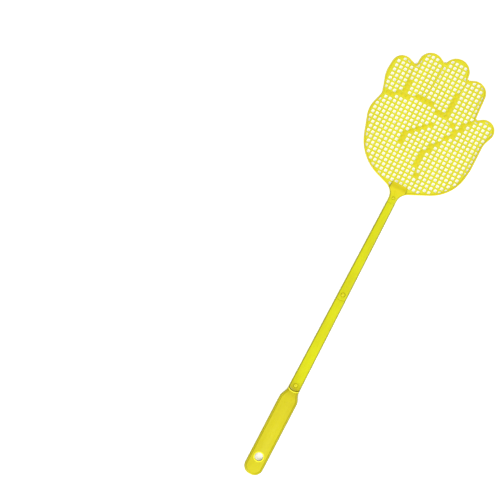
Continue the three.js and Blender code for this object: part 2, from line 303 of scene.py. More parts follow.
def inset_outline(outline, distance):
    """The closed, counter-clockwise outline moved inwards, with its corners kept sharp."""
    points = np.array(outline)
    before = points - np.roll(points, 1, axis=0)
    after = np.roll(points, -1, axis=0) - points
    before /= np.linalg.norm(before, axis=1)[:, None]
    after /= np.linalg.norm(after, axis=1)[:, None]
    normals = np.stack([-(before + after)[:, 1], (before + after)[:, 0]], axis=1)
    normals /= np.linalg.norm(normals, axis=1)[:, None]
    facing = normals[:, 0] * -before[:, 1] + normals[:, 1] * before[:, 0]
    sharpest = 0.3
    return points + normals * (distance / np.maximum(facing, sharpest))[:, None]


def rounded_edge(width, depth, steps=5):
    """(inset, depth) pairs down a quarter-ellipse edge, from the face to the side."""
    angles = [math.pi / 2 * step / steps for step in range(steps + 1)]
    return [(width * (1 - math.sin(a)), depth * (1 - math.cos(a))) for a in angles]


def plate(name, outline, back, front, back_edge, front_edge):
    """A plate whose edges follow (inset, depth) pairs, each listed from the face to the side."""
    levels = [(inset, back + depth) for inset, depth in back_edge]
    levels += [(inset, front - depth) for inset, depth in reversed(front_edge)]
    return loft(name, [[(x, y, z) for x, y in inset_outline(outline, inset)] for inset, z in levels])


def round_corners(points, radius, steps=3):
    """A closed convex polygon with each corner replaced by a short arc."""
    result = []
    total = len(points)
    for i in range(total):
        corner = np.array(points[i], float)
        to_last = np.array(points[i - 1], float) - corner
        to_next = np.array(points[(i + 1) % total], float) - corner
        reach = min(radius, 0.45 * np.linalg.norm(to_last), 0.45 * np.linalg.norm(to_next))
        start = corner + to_last / np.linalg.norm(to_last) * reach
        end = corner + to_next / np.linalg.norm(to_next) * reach
        for k in range(steps + 1):
            t = k / steps
            result.append(tuple((1 - t) ** 2 * start + 2 * t * (1 - t) * corner + t * t * end))
    return result


def is_inside(x, y, outline):
    """Whether a point is inside a closed outline."""
    inside = False
    for i, (x1, y1) in enumerate(outline):
        x2, y2 = outline[(i + 1) % len(outline)]
        if (y1 > y) != (y2 > y) and x < x1 + (x2 - x1) * (y - y1) / (y2 - y1):
            inside = not inside
    return inside


# ---- Shaft and plug joints ----

def shaft_width(y):
    along = (y - GRIP_SEAM) / (NECK_SEAM - GRIP_SEAM)
    return SHAFT_BASE_WIDTH + (NECK_WIDTH - SHAFT_BASE_WIDTH) * along


def tongue_width(seam):
    return shaft_width(seam + TONGUE_LENGTH) - 2 * (SIDE_WALL + CLEARANCE)


def finger_width(seam):
    return min(LARGEST_FINGER, tongue_width(seam) - 2 * (SIDE_RAIL + SLOT_GAP))


def sagitta(x):
    """How far a seam's arc rises above its lowest point, x away from the axis."""
    return SEAT_RADIUS - math.sqrt(SEAT_RADIUS ** 2 - min(abs(x), 0.98 * SEAT_RADIUS) ** 2)


def bar_section(half_width, back, front, chamfer):
    """Cross-section of the shaft: chamfered, softened corners, and flats with points enough to bend."""
    w, c = half_width, chamfer
    corners = [
        (w - c, front), (c - w, front), (-w, front - c), (-w, back + c),
        (c - w, back), (w - c, back), (w, back + c), (w, front - c),
    ]
    corner_steps, face_steps = 3, 14
    ring = round_corners(corners, CORNER_ROUND, corner_steps)
    section = []
    for i, start in enumerate(ring):
        section.append(start)
        corner, step = divmod(i, corner_steps + 1)
        if step == corner_steps and corner in (0, 4):
            end = ring[i + 1]
            for k in range(1, face_steps):
                section.append(tuple(a + (b - a) * k / face_steps for a, b in zip(start, end)))
    flat = half_width - chamfer
    crown = [SHAFT_CROWN * max(0.0, 1 - (x / flat) ** 2) if z > front - 0.01 else 0.0 for x, z in section]
    return [(x, z + rise) for (x, z), rise in zip(section, crown)]


def end_drop(distance, drop):
    """How far the front face has sunk, at a distance from the rounded end."""
    along = min(distance / END_DROP_LENGTH, 1.0)
    return drop * (1 - math.sqrt(1 - (1 - along) ** 2))


def bar_ring(y, half_width, back, front, chamfer, inset, curl):
    """One section of the bar at y, shrunk by inset and bent by curl along a seam's arc."""
    chamfer = max(chamfer - 0.5 * inset, LEAST_CHAMFER)
    section = bar_section(half_width - inset, back + inset, front - inset, chamfer)
    return [(AXIS_X + x, y + curl * sagitta(x), z) for x, z in section]


def end_stations(y, direction, radius=END_ROUND):
    """(y, inset) of the sections that round off an end, from the end inwards."""
    steps = 4
    result = []
    for step in range(steps + 1):
        angle = math.pi / 2 * step / steps
        result.append((y + direction * radius * (1 - math.cos(angle)), radius * (1 - math.sin(angle))))
    return result


def shaft_bar(name, lower_seam, upper_seam, drop):
    """The bar of a shaft section, with a rounded lower end and a concave seat at its upper one."""
    near, far = lower_seam, upper_seam - SEAM_GAP
    stations = end_stations(near, 1)
    drop_spans, spans = 8, 24
    stations += [(near + END_ROUND + END_DROP_LENGTH * k / drop_spans, 0.0) for k in range(1, drop_spans + 1)]
    start = stations[-1][0]
    for k in range(1, spans):
        stations.append((start + (far - FAR_END_ROUND - start) * k / spans, 0.0))
    stations += list(reversed(end_stations(far, -1, FAR_END_ROUND)))
    rings = []
    for y, inset in stations:
        curl = max(0.0, 1 - (y - near) / BEND_LENGTH, 1 - (far - y) / BEND_LENGTH)
        front = SHAFT_THICKNESS - end_drop(y - near, drop)
        rings.append(bar_ring(y, shaft_width(y) / 2, 0.0, front, SHAFT_CHAMFER, inset, curl))
    return loft(name, rings, bent_ends=True)


def tongue(seam):
    """The flat tongue above a seam, with the slot that its finger moves in."""
    half, root, tip = tongue_width(seam) / 2, seam - TONGUE_ROOT, seam + TONGUE_LENGTH
    outline = round_corners([(half, root), (half, tip), (-half, tip), (-half, root)], TONGUE_CORNER, 5)
    outline = [(AXIS_X + x, y) for x, y in outline]
    edge = rounded_edge(TONGUE_EDGE, TONGUE_EDGE, 3)
    blade = plate("tongue", outline, TONGUE_BACK, TONGUE_FRONT, edge, edge)
    slot_half = finger_width(seam) / 2 + SLOT_GAP
    slot = arc(AXIS_X, seam + BUTTON_FROM_SEAM, slot_half, -math.pi, 0)
    slot += [(AXIS_X + slot_half, tip - TIP_BRIDGE), (AXIS_X - slot_half, tip - TIP_BRIDGE)]
    return combine(blade, [prism("slot", slot, 0.0, SHAFT_THICKNESS)], "DIFFERENCE")


def socket_cutters(seam):
    """The pocket for a tongue, and the button's hole with its softened edge."""
    half = tongue_width(seam) / 2 + CLEARANCE
    near, far = seam - POCKET_BELOW_SEAM, seam + TONGUE_LENGTH + CLEARANCE
    outline = [(AXIS_X + x, y) for x, y in ((-half, near), (half, near), (half, far), (-half, far))]
    pocket = prism("pocket", outline, POCKET_BACK, POCKET_FRONT)
    radius = finger_width(seam) / 2 + CLEARANCE
    wide, top = radius + BUTTON_HOLE_EDGE_WIDTH, SHAFT_THICKNESS
    profile = [(radius, BUTTON_HOLE_START), (radius, top - BUTTON_HOLE_EDGE_DEPTH)]
    profile += [(wide, top), (wide, top + CUT_MARGIN)]
    return [pocket, revolve("button_hole", profile, AXIS_X, seam + BUTTON_FROM_SEAM)]


def snap_finger(name, seam):
    """A sprung finger with its domed button."""
    half = finger_width(seam) / 2
    y = seam + BUTTON_FROM_SEAM
    root = seam + TONGUE_LENGTH - TIP_BRIDGE - CLEARANCE
    outline = arc(AXIS_X, y, half, -math.pi, 0) + [(AXIS_X + half, root), (AXIS_X - half, root)]
    edge = rounded_edge(FINGER_EDGE, FINGER_EDGE, 3)
    finger = plate(name, outline, TONGUE_FRONT - FINGER_THICKNESS, TONGUE_FRONT, edge, edge)
    radius = half + CLEARANCE - BUTTON_GAP
    top = SHAFT_THICKNESS + BUTTON_PROUD
    profile = [(radius, TONGUE_FRONT - BUTTON_ROOT)]
    steps, tip_radius = 8, 0.04
    for k in range(steps):
        angle = math.pi / 2 * k / steps
        profile.append((radius * math.cos(angle), top - BUTTON_CROWN + BUTTON_CROWN * math.sin(angle)))
    profile.append((tip_radius, top))
    return combine(finger, [revolve("button", profile, AXIS_X, y)], "UNION")


# ---- Grip ----

def bezier(p0, p1, p2, p3, steps=10):
    """Points along a cubic Bezier curve."""
    result = []
    for k in range(steps + 1):
        t = k / steps
        weights = ((1 - t) ** 3, 3 * t * (1 - t) ** 2, 3 * t * t * (1 - t), t ** 3)
        result.append(tuple(sum(w * p[i] for w, p in zip(weights, (p0, p1, p2, p3))) for i in (0, 1)))
    return result


def grip_outline():
    """The grip seen from the front, running past its seat so that the seat can be cut."""
    half, neck, radius = GRIP_WIDTH / 2, SHAFT_BASE_WIDTH / 2, GRIP_END_RADIUS
    shoulder = GRIP_SEAM - SHOULDER_LENGTH
    top = GRIP_SEAM + SEAT_RADIUS / 2
    spans = 8
    right = arc(half - radius, GRIP_END + radius, radius, -math.pi / 2, 0)
    right += [(half, GRIP_END + radius + (shoulder - GRIP_END - radius) * k / spans) for k in range(1, spans)]
    right += bezier((half, shoulder), (half, shoulder + SHOULDER_FULLNESS),
                    (neck + NECK_LEAN, GRIP_SEAM - NECK_FULLNESS), (neck, GRIP_SEAM))
    right += [(neck, top)]
    left = [(-x, y) for x, y in reversed(right)]
    return [(AXIS_X + x, y) for x, y in right + left]


def seat_cutter():
    """Everything above the grip's seat."""
    reach = SHAFT_BASE_WIDTH / 2 + CUT_MARGIN
    half_angle = math.asin(reach / SEAT_RADIUS)
    y = GRIP_SEAM - SEAM_GAP
    top = y + 20
    down = -math.pi / 2
    outline = arc(AXIS_X, y + SEAT_RADIUS, SEAT_RADIUS, down - half_angle, down + half_angle, 0.4)
    outline += [(AXIS_X + reach, top), (AXIS_X - reach, top)]
    return prism("seat", outline, -CUT_MARGIN, GRIP_THICKNESS + 2 * CUT_MARGIN)


def seat_lip():
    """The raised bead that follows the seat."""
    radius = SEAT_RADIUS + LIP_FROM_SEAT
    reach = SHAFT_BASE_WIDTH / 2 - LIP_FROM_SIDE
    half_angle = math.asin(reach / radius)
    centre_y = GRIP_SEAM - SEAM_GAP + SEAT_RADIUS
    down = -math.pi / 2
    steps, sides = 28, 14
    end_size = 0.02
    rings = []
    for k in range(steps + 1):
        angle = down - half_angle + 2 * half_angle * k / steps
        taper = math.sqrt(max(1 - (2 * k / steps - 1) ** 6, end_size))
        ring = []
        for i in range(sides):
            turn = 2 * math.pi * i / sides
            out = radius + BEAD_HALF_WIDTH * taper * math.cos(turn)
            z = GRIP_THICKNESS - LIP_SUNK + LIP_HALF_HEIGHT * taper * math.sin(turn)
            ring.append((AXIS_X + out * math.cos(angle), centre_y + out * math.sin(angle), z))
        rings.append(ring)
    return loft("lip", rings)


def hanging_hole():
    """Cutter for the hanging hole, flaring out to both faces."""
    profile = [(HOLE_RADIUS + inset, depth) for inset, depth in rounded_edge(HOLE_FLARE, HOLE_FLARE)]
    front = [(radius, GRIP_THICKNESS - z) for radius, z in reversed(profile)]
    wide = HOLE_RADIUS + HOLE_FLARE
    whole = [(wide, -CUT_MARGIN)] + profile + front + [(wide, GRIP_THICKNESS + CUT_MARGIN)]
    return revolve("hanging_hole", whole, AXIS_X, GRIP_END + HOLE_FROM_END, 64)


def grip_front_edge():
    """The grip's broad bevel and the groove that sets it off from the flat front."""
    groove = []
    groove_steps, bevel_steps = 6, 5
    for k in range(groove_steps + 1):
        across = k / groove_steps
        inset = GRIP_EDGE_WIDTH + GROOVE_WIDTH * (1 - across)
        groove.append((inset, GROOVE_DEPTH * math.sin(math.pi * across)))
    bevel = []
    for k in range(1, bevel_steps + 1):
        angle = GRIP_BEVEL * k / bevel_steps
        inset = GRIP_EDGE_WIDTH * (1 - math.sin(angle) / math.sin(GRIP_BEVEL))
        bevel.append((inset, GRIP_EDGE_DEPTH * (1 - math.cos(angle)) / (1 - math.cos(GRIP_BEVEL))))
    return groove + bevel


def grip():
    back_edge = rounded_edge(*GRIP_BACK_EDGE)
    body = plate("grip_moulding", grip_outline(), 0.0, GRIP_THICKNESS, back_edge, grip_front_edge())
    combine(body, [seat_cutter(), hanging_hole()], "DIFFERENCE")
    return combine(body, [tongue(GRIP_SEAM)], "UNION")


def grip_beads():
    """The raised beads along the seat and round the hanging hole."""
    y = GRIP_END + HOLE_FROM_END
    radius = HOLE_RADIUS + HOLE_FLARE + 0.1
    foot = GRIP_THICKNESS - 0.3
    steps, sides = 10, 64
    profile = []
    for k in range(steps + 1):
        turn = math.pi * k / steps
        z = GRIP_THICKNESS - BEAD_SUNK + BEAD_HEIGHT * math.sin(turn)
        profile.append((radius + BEAD_HALF_WIDTH * math.cos(turn), z))
    profile = [(radius + BEAD_HALF_WIDTH, foot)] + profile + [(radius - BEAD_HALF_WIDTH, foot)]
    rings = []
    for k in range(sides):
        angle = 2 * math.pi * k / sides
        rings.append([(AXIS_X + r * math.cos(angle), y + r * math.sin(angle), z) for r, z in profile])
    return combine(seat_lip(), [closed_sweep("hole_bead", rings)], "UNION")


# ---- Head ----

def hand_outline(inset, step=0.8):
    """The hand from one side of the neck to the other, moved inwards by inset."""
    circles = [(x, y, radius - inset) for x, y, radius in HAND_CIRCLES]
    headings = [math.pi / 2]
    for (x1, y1, r1), (x2, y2, r2) in zip(circles, circles[1:]):
        span = math.hypot(x2 - x1, y2 - y1)
        headings.append(math.atan2(y2 - y1, x2 - x1) + math.asin((r1 - r2) / span))
    headings.append(-math.pi / 2)
    points = []
    for i, (x, y, radius) in enumerate(circles):
        full = math.copysign(2 * math.pi, radius)
        sweep = math.fmod(math.fmod(headings[i + 1] - headings[i], full) + full, full)
        start = headings[i] - math.pi / 2
        for point in arc(AXIS_X + x, NECK_SEAM + y, radius, start, start + sweep, step):
            if not points or math.dist(point, points[-1]) > 0.05:
                points.append(point)
    return points


def spread(points, step):
    """Adds points along the long straight stretches of an outline."""
    result = []
    for (x1, y1), (x2, y2) in zip(points, points[1:]):
        count = max(1, round(math.hypot(x2 - x1, y2 - y1) / step))
        result += [(x1 + (x2 - x1) * k / count, y1 + (y2 - y1) * k / count) for k in range(count)]
    return result + [points[-1]]


def smooth_line(points, step=1.0):
    """A Catmull-Rom line through the points, with its unit tangents."""
    knots = [np.array((AXIS_X + x, NECK_SEAM + y), float) for x, y in points]
    knots = [2 * knots[0] - knots[1]] + knots + [2 * knots[-1] - knots[-2]]
    line = []
    for i in range(1, len(knots) - 2):
        p0, p1, p2, p3 = knots[i - 1:i + 3]
        count = max(2, round(np.linalg.norm(p2 - p1) / step))
        for k in range(count):
            t = k / count
            line.append(0.5 * (2 * p1 + (p2 - p0) * t + (2 * p0 - 5 * p1 + 4 * p2 - p3) * t * t
                               + (3 * p1 - p0 - 3 * p2 + p3) * t ** 3))
    line.append(knots[-2])
    line = np.array(line)
    tangents = np.gradient(line, axis=0)
    return line, tangents / np.linalg.norm(tangents, axis=1)[:, None]


def ribbon(points, width):
    """The flat outline of a crease of that width."""
    line, tangents = smooth_line(points)
    side = np.stack([tangents[:, 1], -tangents[:, 0]], axis=1) * width / 2
    return [tuple(p) for p in line + side] + [tuple(p) for p in (line - side)[::-1]]


def squarish(value, power):
    """A sine or cosine flattened towards 1, for ovals that are fuller than an ellipse."""
    return math.copysign(abs(value) ** power, value)


def crease(points):
    """A raised line with a rounded top, back and ends."""
    line, tangents = smooth_line(points)
    middle, height = (CREASE_BACK + CREASE_FRONT) / 2, (CREASE_FRONT - CREASE_BACK) / 2
    length = np.concatenate([[0], np.cumsum(np.linalg.norm(np.diff(line, axis=0), axis=1))])
    rings = []
    for point, tangent, along in zip(line, tangents, length):
        from_end = min(along, length[-1] - along)
        rounding = math.sqrt(1 - (1 - min(from_end / CREASE_WIDTH, 1)) ** 2)
        taper = rounding * (1 - CREASE_END_SIZE) + CREASE_END_SIZE
        ring = []
        for k in range(BEAD_SIDES):
            turn = 2 * math.pi * k / BEAD_SIDES
            across = squarish(math.cos(turn), CREASE_SQUARENESS) * CREASE_WIDTH / 2 * taper
            up = squarish(math.sin(turn), CREASE_SQUARENESS) * height * taper
            ring.append((point[0] + tangent[1] * across, point[1] - tangent[0] * across, middle + up))
        rings.append(ring)
    return loft("crease", rings)


def hole_loop(x, y, grow):
    """A rounded square round (x, y), counter-clockwise from the right of the lower right corner."""
    half, radius = HOLE_SIZE / 2 + grow, HOLE_CORNER + grow
    points = []
    for quarter, (sx, sy) in enumerate(((1, -1), (1, 1), (-1, 1), (-1, -1))):
        start = -math.pi / 2 + quarter * math.pi / 2
        for k in range(CORNER_POINTS):
            angle = start + math.pi / 2 * k / (CORNER_POINTS - 1)
            points.append((x + sx * (half - radius) + radius * math.cos(angle),
                           y + sy * (half - radius) + radius * math.sin(angle)))
    return points


def hole_rings():
    """(grow, z) of the rings round a hole, from the front face to the back."""
    rounding = rounded_edge(BAR_ROUND, BAR_ROUND, 2)
    front = [(grow, PANEL_FRONT - depth) for grow, depth in rounding]
    return front + [(grow, PANEL_BACK + depth) for grow, depth in reversed(rounding)]


# (grow, z) of the rings of the low pad that fills a hole under a crease
PAD_RINGS = [(0.5, PANEL_FRONT), (0.3, PANEL_FRONT + 0.25), (0.0, PAD_FRONT)]


def mesh_panel():
    """A rectangle of mesh, with holes only where the palm has them."""
    clear = hand_outline(RIM_WIDTH - HOLE_UNDER_RIM)
    filled = [ribbon(points, CREASE_FILLED_WIDTH) for points in CREASES]
    first_y = FINGERTIP - FIRST_ROW_BELOW_TIP
    loop_points = 4 * CORNER_POINTS
    vertices, faces, corner_index = [], [], {}

    def add(x, y, z):
        vertices.append((x, y, z))
        return len(vertices) - 1

    def corner(i, j, z):
        key = (i, j, z)
        if key not in corner_index:
            corner_index[key] = add(AXIS_X + (i - 0.5) * PITCH_X, first_y - (j - 0.5) * PITCH_Y, z)
        return corner_index[key]

    def kind(x, y):
        across, up = x - AXIS_X, y - NECK_SEAM
        on_flare = up < FLARE_LENGTH + FLARE_HOLE_MARGIN and abs(across) < FLARE_HALF_WIDTH
        in_corner = 0 < across < FILLED_CORNER_WIDTH and up < FILLED_CORNER_TOP
        if on_flare or in_corner or not is_inside(x, y, clear):
            return "plain"
        return "pad" if any(is_inside(x, y, outline) for outline in filled) else "hole"

    def skirt(square, ring, flip):
        """Faces between a cell's square and the ring inside it."""
        for q in range(4):
            here, following = square[q], square[(q + 1) % 4]
            first, last = CORNER_POINTS * q, CORNER_POINTS * (q + 1) - 1
            fan = [(here, ring[k + 1], ring[k]) for k in range(first, last)]
            fan.append((here, following, ring[(last + 1) % loop_points], ring[last]))
            faces.extend([tuple(reversed(f)) for f in fan] if flip else fan)

    for i in MESH_COLUMNS:
        for j in MESH_ROWS:
            squares = []
            for z in (PANEL_FRONT, PANEL_BACK):
                places = ((i + 1, j + 1), (i + 1, j), (i, j), (i, j + 1))
                squares.append([corner(column, row, z) for column, row in places])
            x, y = AXIS_X + i * PITCH_X, first_y - j * PITCH_Y
            cell = kind(x, y)
            levels = {"plain": [], "pad": PAD_RINGS, "hole": hole_rings()}[cell]
            rings = [[add(px, py, z) for px, py in hole_loop(x, y, grow)] for grow, z in levels]
            for upper, lower in zip(rings, rings[1:]):
                for k in range(loop_points):
                    n = (k + 1) % loop_points
                    faces.append((upper[k], upper[n], lower[n], lower[k]))
            if rings:
                skirt(squares[0], rings[0], False)
            else:
                faces.append(tuple(squares[0]))
            if cell == "hole":
                skirt(squares[1], rings[-1], True)
            else:
                faces.append(tuple(reversed(squares[1])))
            if cell == "pad":
                faces.append(tuple(rings[-1]))
    low_i, high_i = MESH_COLUMNS[0], MESH_COLUMNS[-1] + 1
    low_j, high_j = MESH_ROWS[0], MESH_ROWS[-1] + 1
    for i in range(low_i, high_i):
        for j in (low_j, high_j):
            faces.append((corner(i, j, PANEL_FRONT), corner(i + 1, j, PANEL_FRONT),
                          corner(i + 1, j, PANEL_BACK), corner(i, j, PANEL_BACK)))
    for j in range(low_j, high_j):
        for i in (low_i, high_i):
            faces.append((corner(i, j, PANEL_FRONT), corner(i, j + 1, PANEL_FRONT),
                          corner(i, j + 1, PANEL_BACK), corner(i, j, PANEL_BACK)))
    return mesh_object("head_moulding", vertices, faces)


def rim():
    """The bead round the hand, an oval section swept along the outline and across the neck."""
    middle_line = hand_outline(RIM_WIDTH / 2)
    points = np.array(spread(middle_line + [middle_line[0]], 1.2)[:-1])
    tangents = np.roll(points, -1, axis=0) - np.roll(points, 1, axis=0)
    tangents /= np.linalg.norm(tangents, axis=1)[:, None]
    middle = RIM_THICKNESS / 2
    rings = []
    for point, tangent in zip(points, tangents):
        ring = []
        for k in range(BEAD_SIDES):
            turn = 2 * math.pi * k / BEAD_SIDES
            across = squarish(math.cos(turn), RIM_SQUARENESS) * RIM_WIDTH / 2
            up = squarish(math.sin(turn), RIM_SQUARENESS) * middle
            ring.append((point[0] + tangent[1] * across, point[1] - tangent[0] * across, middle + up))
        rings.append(ring)
    return closed_sweep("rim", rings)


def neck_half_width(up):
    """Half the neck's width, up above its seam."""
    x, y, radius = HAND_CIRCLES[0]
    half = NECK_WIDTH / 2
    if up > y:
        rise = min(up - y, 0.999 * abs(radius))
        half = x - math.sqrt(radius ** 2 - rise ** 2)
    shrink = max(0.0, (up - FLARE_TAPER_START) / (FLARE_LENGTH - FLARE_TAPER_START))
    return min(half, FLARE_HALF_WIDTH - FLARE_TAPER * shrink ** 2)


def neck():
    """The thick neck and the flare that runs out into the mesh."""
    spans = 44
    stations = end_stations(0.0, 1)
    stations += [(END_ROUND + (FLARE_LENGTH - END_ROUND) * k / spans, 0.0) for k in range(1, spans + 1)]
    rings = []
    for up, inset in stations:
        slope = min(max((up - (FLARE_LENGTH - FLARE_SLOPE)) / FLARE_SLOPE, 0.0), 1.0)
        ease = slope * slope * (3 - 2 * slope)
        front = SHAFT_THICKNESS - (SHAFT_THICKNESS - PANEL_FRONT - FLARE_ABOVE_PANEL) * ease
        chamfer = SHAFT_CHAMFER * (1 - FLARE_CHAMFER_LOSS * ease)
        back = FLARE_BACK * ease
        curl = max(0.0, 1 - up / BEND_LENGTH)
        rings.append(bar_ring(NECK_SEAM + up, neck_half_width(up), back, front, chamfer, inset, curl))
    return loft("neck", rings, bent_ends=True)


def head():
    panel = mesh_panel()
    inner = prism("hand", hand_outline(PANEL_UNDER_RIM), -CUT_MARGIN, SHAFT_THICKNESS)
    combine(panel, [inner], "INTERSECT")
    combine(panel, [rim(), neck()] + [crease(points) for points in CREASES], "UNION")
    return combine(panel, socket_cutters(NECK_SEAM), "DIFFERENCE")


# ---- Materials ----

class Plastic:
    """Moulded polypropylene: a soft gloss, orange peel, flow marks and scuffs, with painted shade on sideways
    faces and by seams.
    """

    def __init__(self, name, roughness, translucency):
        self.material = bpy.data.materials.new(name)
        self.material.use_nodes = True
        self.nodes, self.links = self.material.node_tree.nodes, self.material.node_tree.links
        self.shader = self.nodes["Principled BSDF"]
        self.place = self.nodes.new("ShaderNodeTexCoord")
        self.shader.inputs["IOR"].default_value = 1.49
        self.shader.inputs["Specular IOR Level"].default_value = 0.2
        self.shader.inputs["Subsurface Weight"].default_value = translucency
        self.shader.inputs["Subsurface Radius"].default_value = (1.0, 0.85, 0.12)
        self.shader.inputs["Subsurface Scale"].default_value = 0.003
        self.set_surface(roughness)

    def noise(self, scale, detail, stretch=(1, 1, 1)):
        mapping = self.nodes.new("ShaderNodeMapping")
        mapping.inputs["Scale"].default_value = stretch
        texture = self.nodes.new("ShaderNodeTexNoise")
        texture.inputs["Scale"].default_value = scale
        texture.inputs["Detail"].default_value = detail
        self.links.new(self.place.outputs["Object"], mapping.inputs["Vector"])
        self.links.new(mapping.outputs["Vector"], texture.inputs["Vector"])
        return texture.outputs["Fac"]

    def remap(self, value, low, high, out_low=0.0, out_high=1.0):
        node = self.nodes.new("ShaderNodeMapRange")
        node.inputs["From Min"].default_value = low
        node.inputs["From Max"].default_value = high
        node.inputs["To Min"].default_value = out_low
        node.inputs["To Max"].default_value = out_high
        self.links.new(value, node.inputs["Value"])
        return node.outputs["Result"]

    def math(self, operation, value, other=None):
        node = self.nodes.new("ShaderNodeMath")
        node.operation = operation
        self.links.new(value, node.inputs[0])
        if other is not None:
            node.inputs[1].default_value = other
        return node.outputs["Value"]

    def part(self, vector, axis):
        node = self.nodes.new("ShaderNodeSeparateXYZ")
        self.links.new(self.place.outputs[vector], node.inputs["Vector"])
        return node.outputs[axis]

    def mix(self, factor, a, b):
        node = self.nodes.new("ShaderNodeMix")
        node.data_type = "RGBA"
        self.links.new(factor, node.inputs["Factor"])
        for socket, value in (("A", a), ("B", b)):
            target = [s for s in node.inputs if s.name == socket and s.type == "RGBA"][0]
            if isinstance(value, tuple):
                target.default_value = (*value, 1)
            else:
                self.links.new(value, target)
        return [s for s in node.outputs if s.type == "RGBA"][0]

    def bump(self, value, strength, distance, normal=None):
        node = self.nodes.new("ShaderNodeBump")
        node.inputs["Strength"].default_value = strength
        node.inputs["Distance"].default_value = distance
        self.links.new(value, node.inputs["Height"])
        if normal:
            self.links.new(normal, node.inputs["Normal"])
        return node.outputs["Normal"]

    def set_surface(self, roughness):
        scuffs = self.noise(420, 5, stretch=(1, 0.25, 1))
        rough = self.remap(scuffs, 0.35, 0.75, roughness - 0.05, roughness + 0.13)
        self.links.new(rough, self.shader.inputs["Roughness"])
        waves = self.bump(self.noise(110, 2), strength=0.3, distance=0.0004)
        peel = self.bump(self.noise(900, 3), strength=0.25, distance=0.00008, normal=waves)
        self.links.new(peel, self.shader.inputs["Normal"])

    def clouded(self, colour, deep_colour):
        """The moulding's own colour, with faint clouds and flow marks along it."""
        clouds = self.remap(self.noise(28, 4), 0.38, 0.66, 0.0, 0.8)
        streaks = self.remap(self.noise(90, 4, stretch=(1, 0.12, 1)), 0.45, 0.7, 0.0, 0.5)
        specks = self.remap(self.noise(700, 3), 0.62, 0.75, 0.0, 0.35)
        marbled = self.mix(streaks, self.mix(clouds, colour, deep_colour), tuple(1.1 * c for c in colour))
        return self.mix(specks, marbled, deep_colour)

    def side_shaded(self, colour, side_shade_colour):
        """Painted shade: a darker colour on faces that turn sideways, towards the long sides and their
        chamfers.
        """
        side_shade_mask = self.math("ABSOLUTE", self.part("Normal", "X"))
        return self.mix(self.remap(side_shade_mask, 0.2, 0.8), colour, side_shade_colour)

    def seam_shade_and_tint(self, colour, seam_shade_and_tint_colour, y, reach):
        """A second colour blended in round a seam; where that colour is darker, it is painted shade where the
        parts meet.
        """
        distance = self.math("ABSOLUTE", self.math("SUBTRACT", self.part("Object", "Y"), y))
        return self.mix(self.remap(distance, reach, 0.15 * reach), colour, seam_shade_and_tint_colour)

    def thickened(self, colour, thick_colour, thin, thick):
        """Denser colour where the moulding rises above its mesh."""
        return self.mix(self.remap(self.part("Object", "Z"), thin, thick), colour, thick_colour)

    def paint(self, colour):
        self.links.new(colour, self.shader.inputs["Base Color"])
        return self.material


def shaft_plastic():
    kind = Plastic("shaft_plastic", roughness=0.27, translucency=0.1)
    colour = kind.clouded((0.59, 0.60, 0.004), (0.52, 0.50, 0.003))
    # Painted shade round the grip's seam: a wide darker band and a narrow, darker one at the joint
    colour = kind.seam_shade_and_tint(colour, (0.42, 0.36, 0.003), GRIP_SEAM * MM, reach=0.010)
    colour = kind.seam_shade_and_tint(colour, (0.33, 0.30, 0.002), GRIP_SEAM * MM, reach=0.003)
    # Painted shade on the shaft's sideways faces
    return kind.paint(kind.side_shaded(colour, (0.26, 0.25, 0.003)))


def grip_plastic():
    kind = Plastic("grip_plastic", roughness=0.3, translucency=0.1)
    colour = kind.clouded((0.58, 0.525, 0.010), (0.52, 0.45, 0.007))
    # Painted shade on the grip round its seam
    colour = kind.seam_shade_and_tint(colour, (0.48, 0.42, 0.004), GRIP_SEAM * MM, reach=0.008)
    # Painted shade on the grip's sideways faces
    return kind.paint(kind.side_shaded(colour, (0.31, 0.28, 0.004)))


def bead_highlight_plastic():
    # Painted highlight: the grip's own plastic made much lighter on the raised beads along the seat and round
    # the hanging hole
    kind = Plastic("bead_highlight_plastic", roughness=0.25, translucency=0.1)
    return kind.paint(kind.clouded((0.90, 0.87, 0.045), (0.86, 0.81, 0.035)))


def button_plastic():
    kind = Plastic("button_plastic", roughness=0.22, translucency=0.1)
    return kind.paint(kind.clouded((0.64, 0.60, 0.012), (0.58, 0.53, 0.008)))


def mesh_plastic():
    kind = Plastic("mesh_plastic", roughness=0.3, translucency=0.15)
    colour = kind.clouded((0.64, 0.62, 0.02), (0.62, 0.58, 0.015))
    thick = kind.clouded((0.66, 0.57, 0.010), (0.63, 0.53, 0.008))
    # The shaft's yellow blended into the head's thick parts round the neck's seam, at about the same
    # brightness
    thick = kind.seam_shade_and_tint(thick, (0.58, 0.58, 0.004), NECK_SEAM * MM, reach=0.016)
    colour = kind.thickened(colour, thick, thin=2.0 * MM, thick=2.25 * MM)
    # Painted shade on the head's sideways faces
    return kind.paint(kind.side_shaded(colour, (0.40, 0.37, 0.012)))


SAME_POINT = 0.0005
SHARPEST_SMOOTH_EDGE = math.radians(38)


def finish_piece(name, piece, body, node, slot, material):
    """Scales the piece to metres, shades it, paints it and hangs it on its CAD body."""
    piece.name = name
    work = bmesh.new()
    work.from_mesh(piece.data)
    bmesh.ops.remove_doubles(work, verts=work.verts, dist=SAME_POINT)
    bmesh.ops.scale(work, vec=(MM, MM, MM), verts=work.verts)
    for face in work.faces:
        face.smooth = True
    for edge in work.edges:
        edge.smooth = len(edge.link_faces) == 2 and edge.calc_face_angle(0) < SHARPEST_SMOOTH_EDGE
    work.to_mesh(piece.data)
    work.free()
    piece.data.materials.clear()
    piece.data.materials.append(material)
    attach(piece, body)
    if node:
        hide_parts(node)


# ---- Stage ----

CAMERA_TILT = 27.5
FRAME_WIDTH = 0.47375
CAMERA_HEIGHT = 1.6
CAMERA_AIM = (-0.0953, -0.0323)


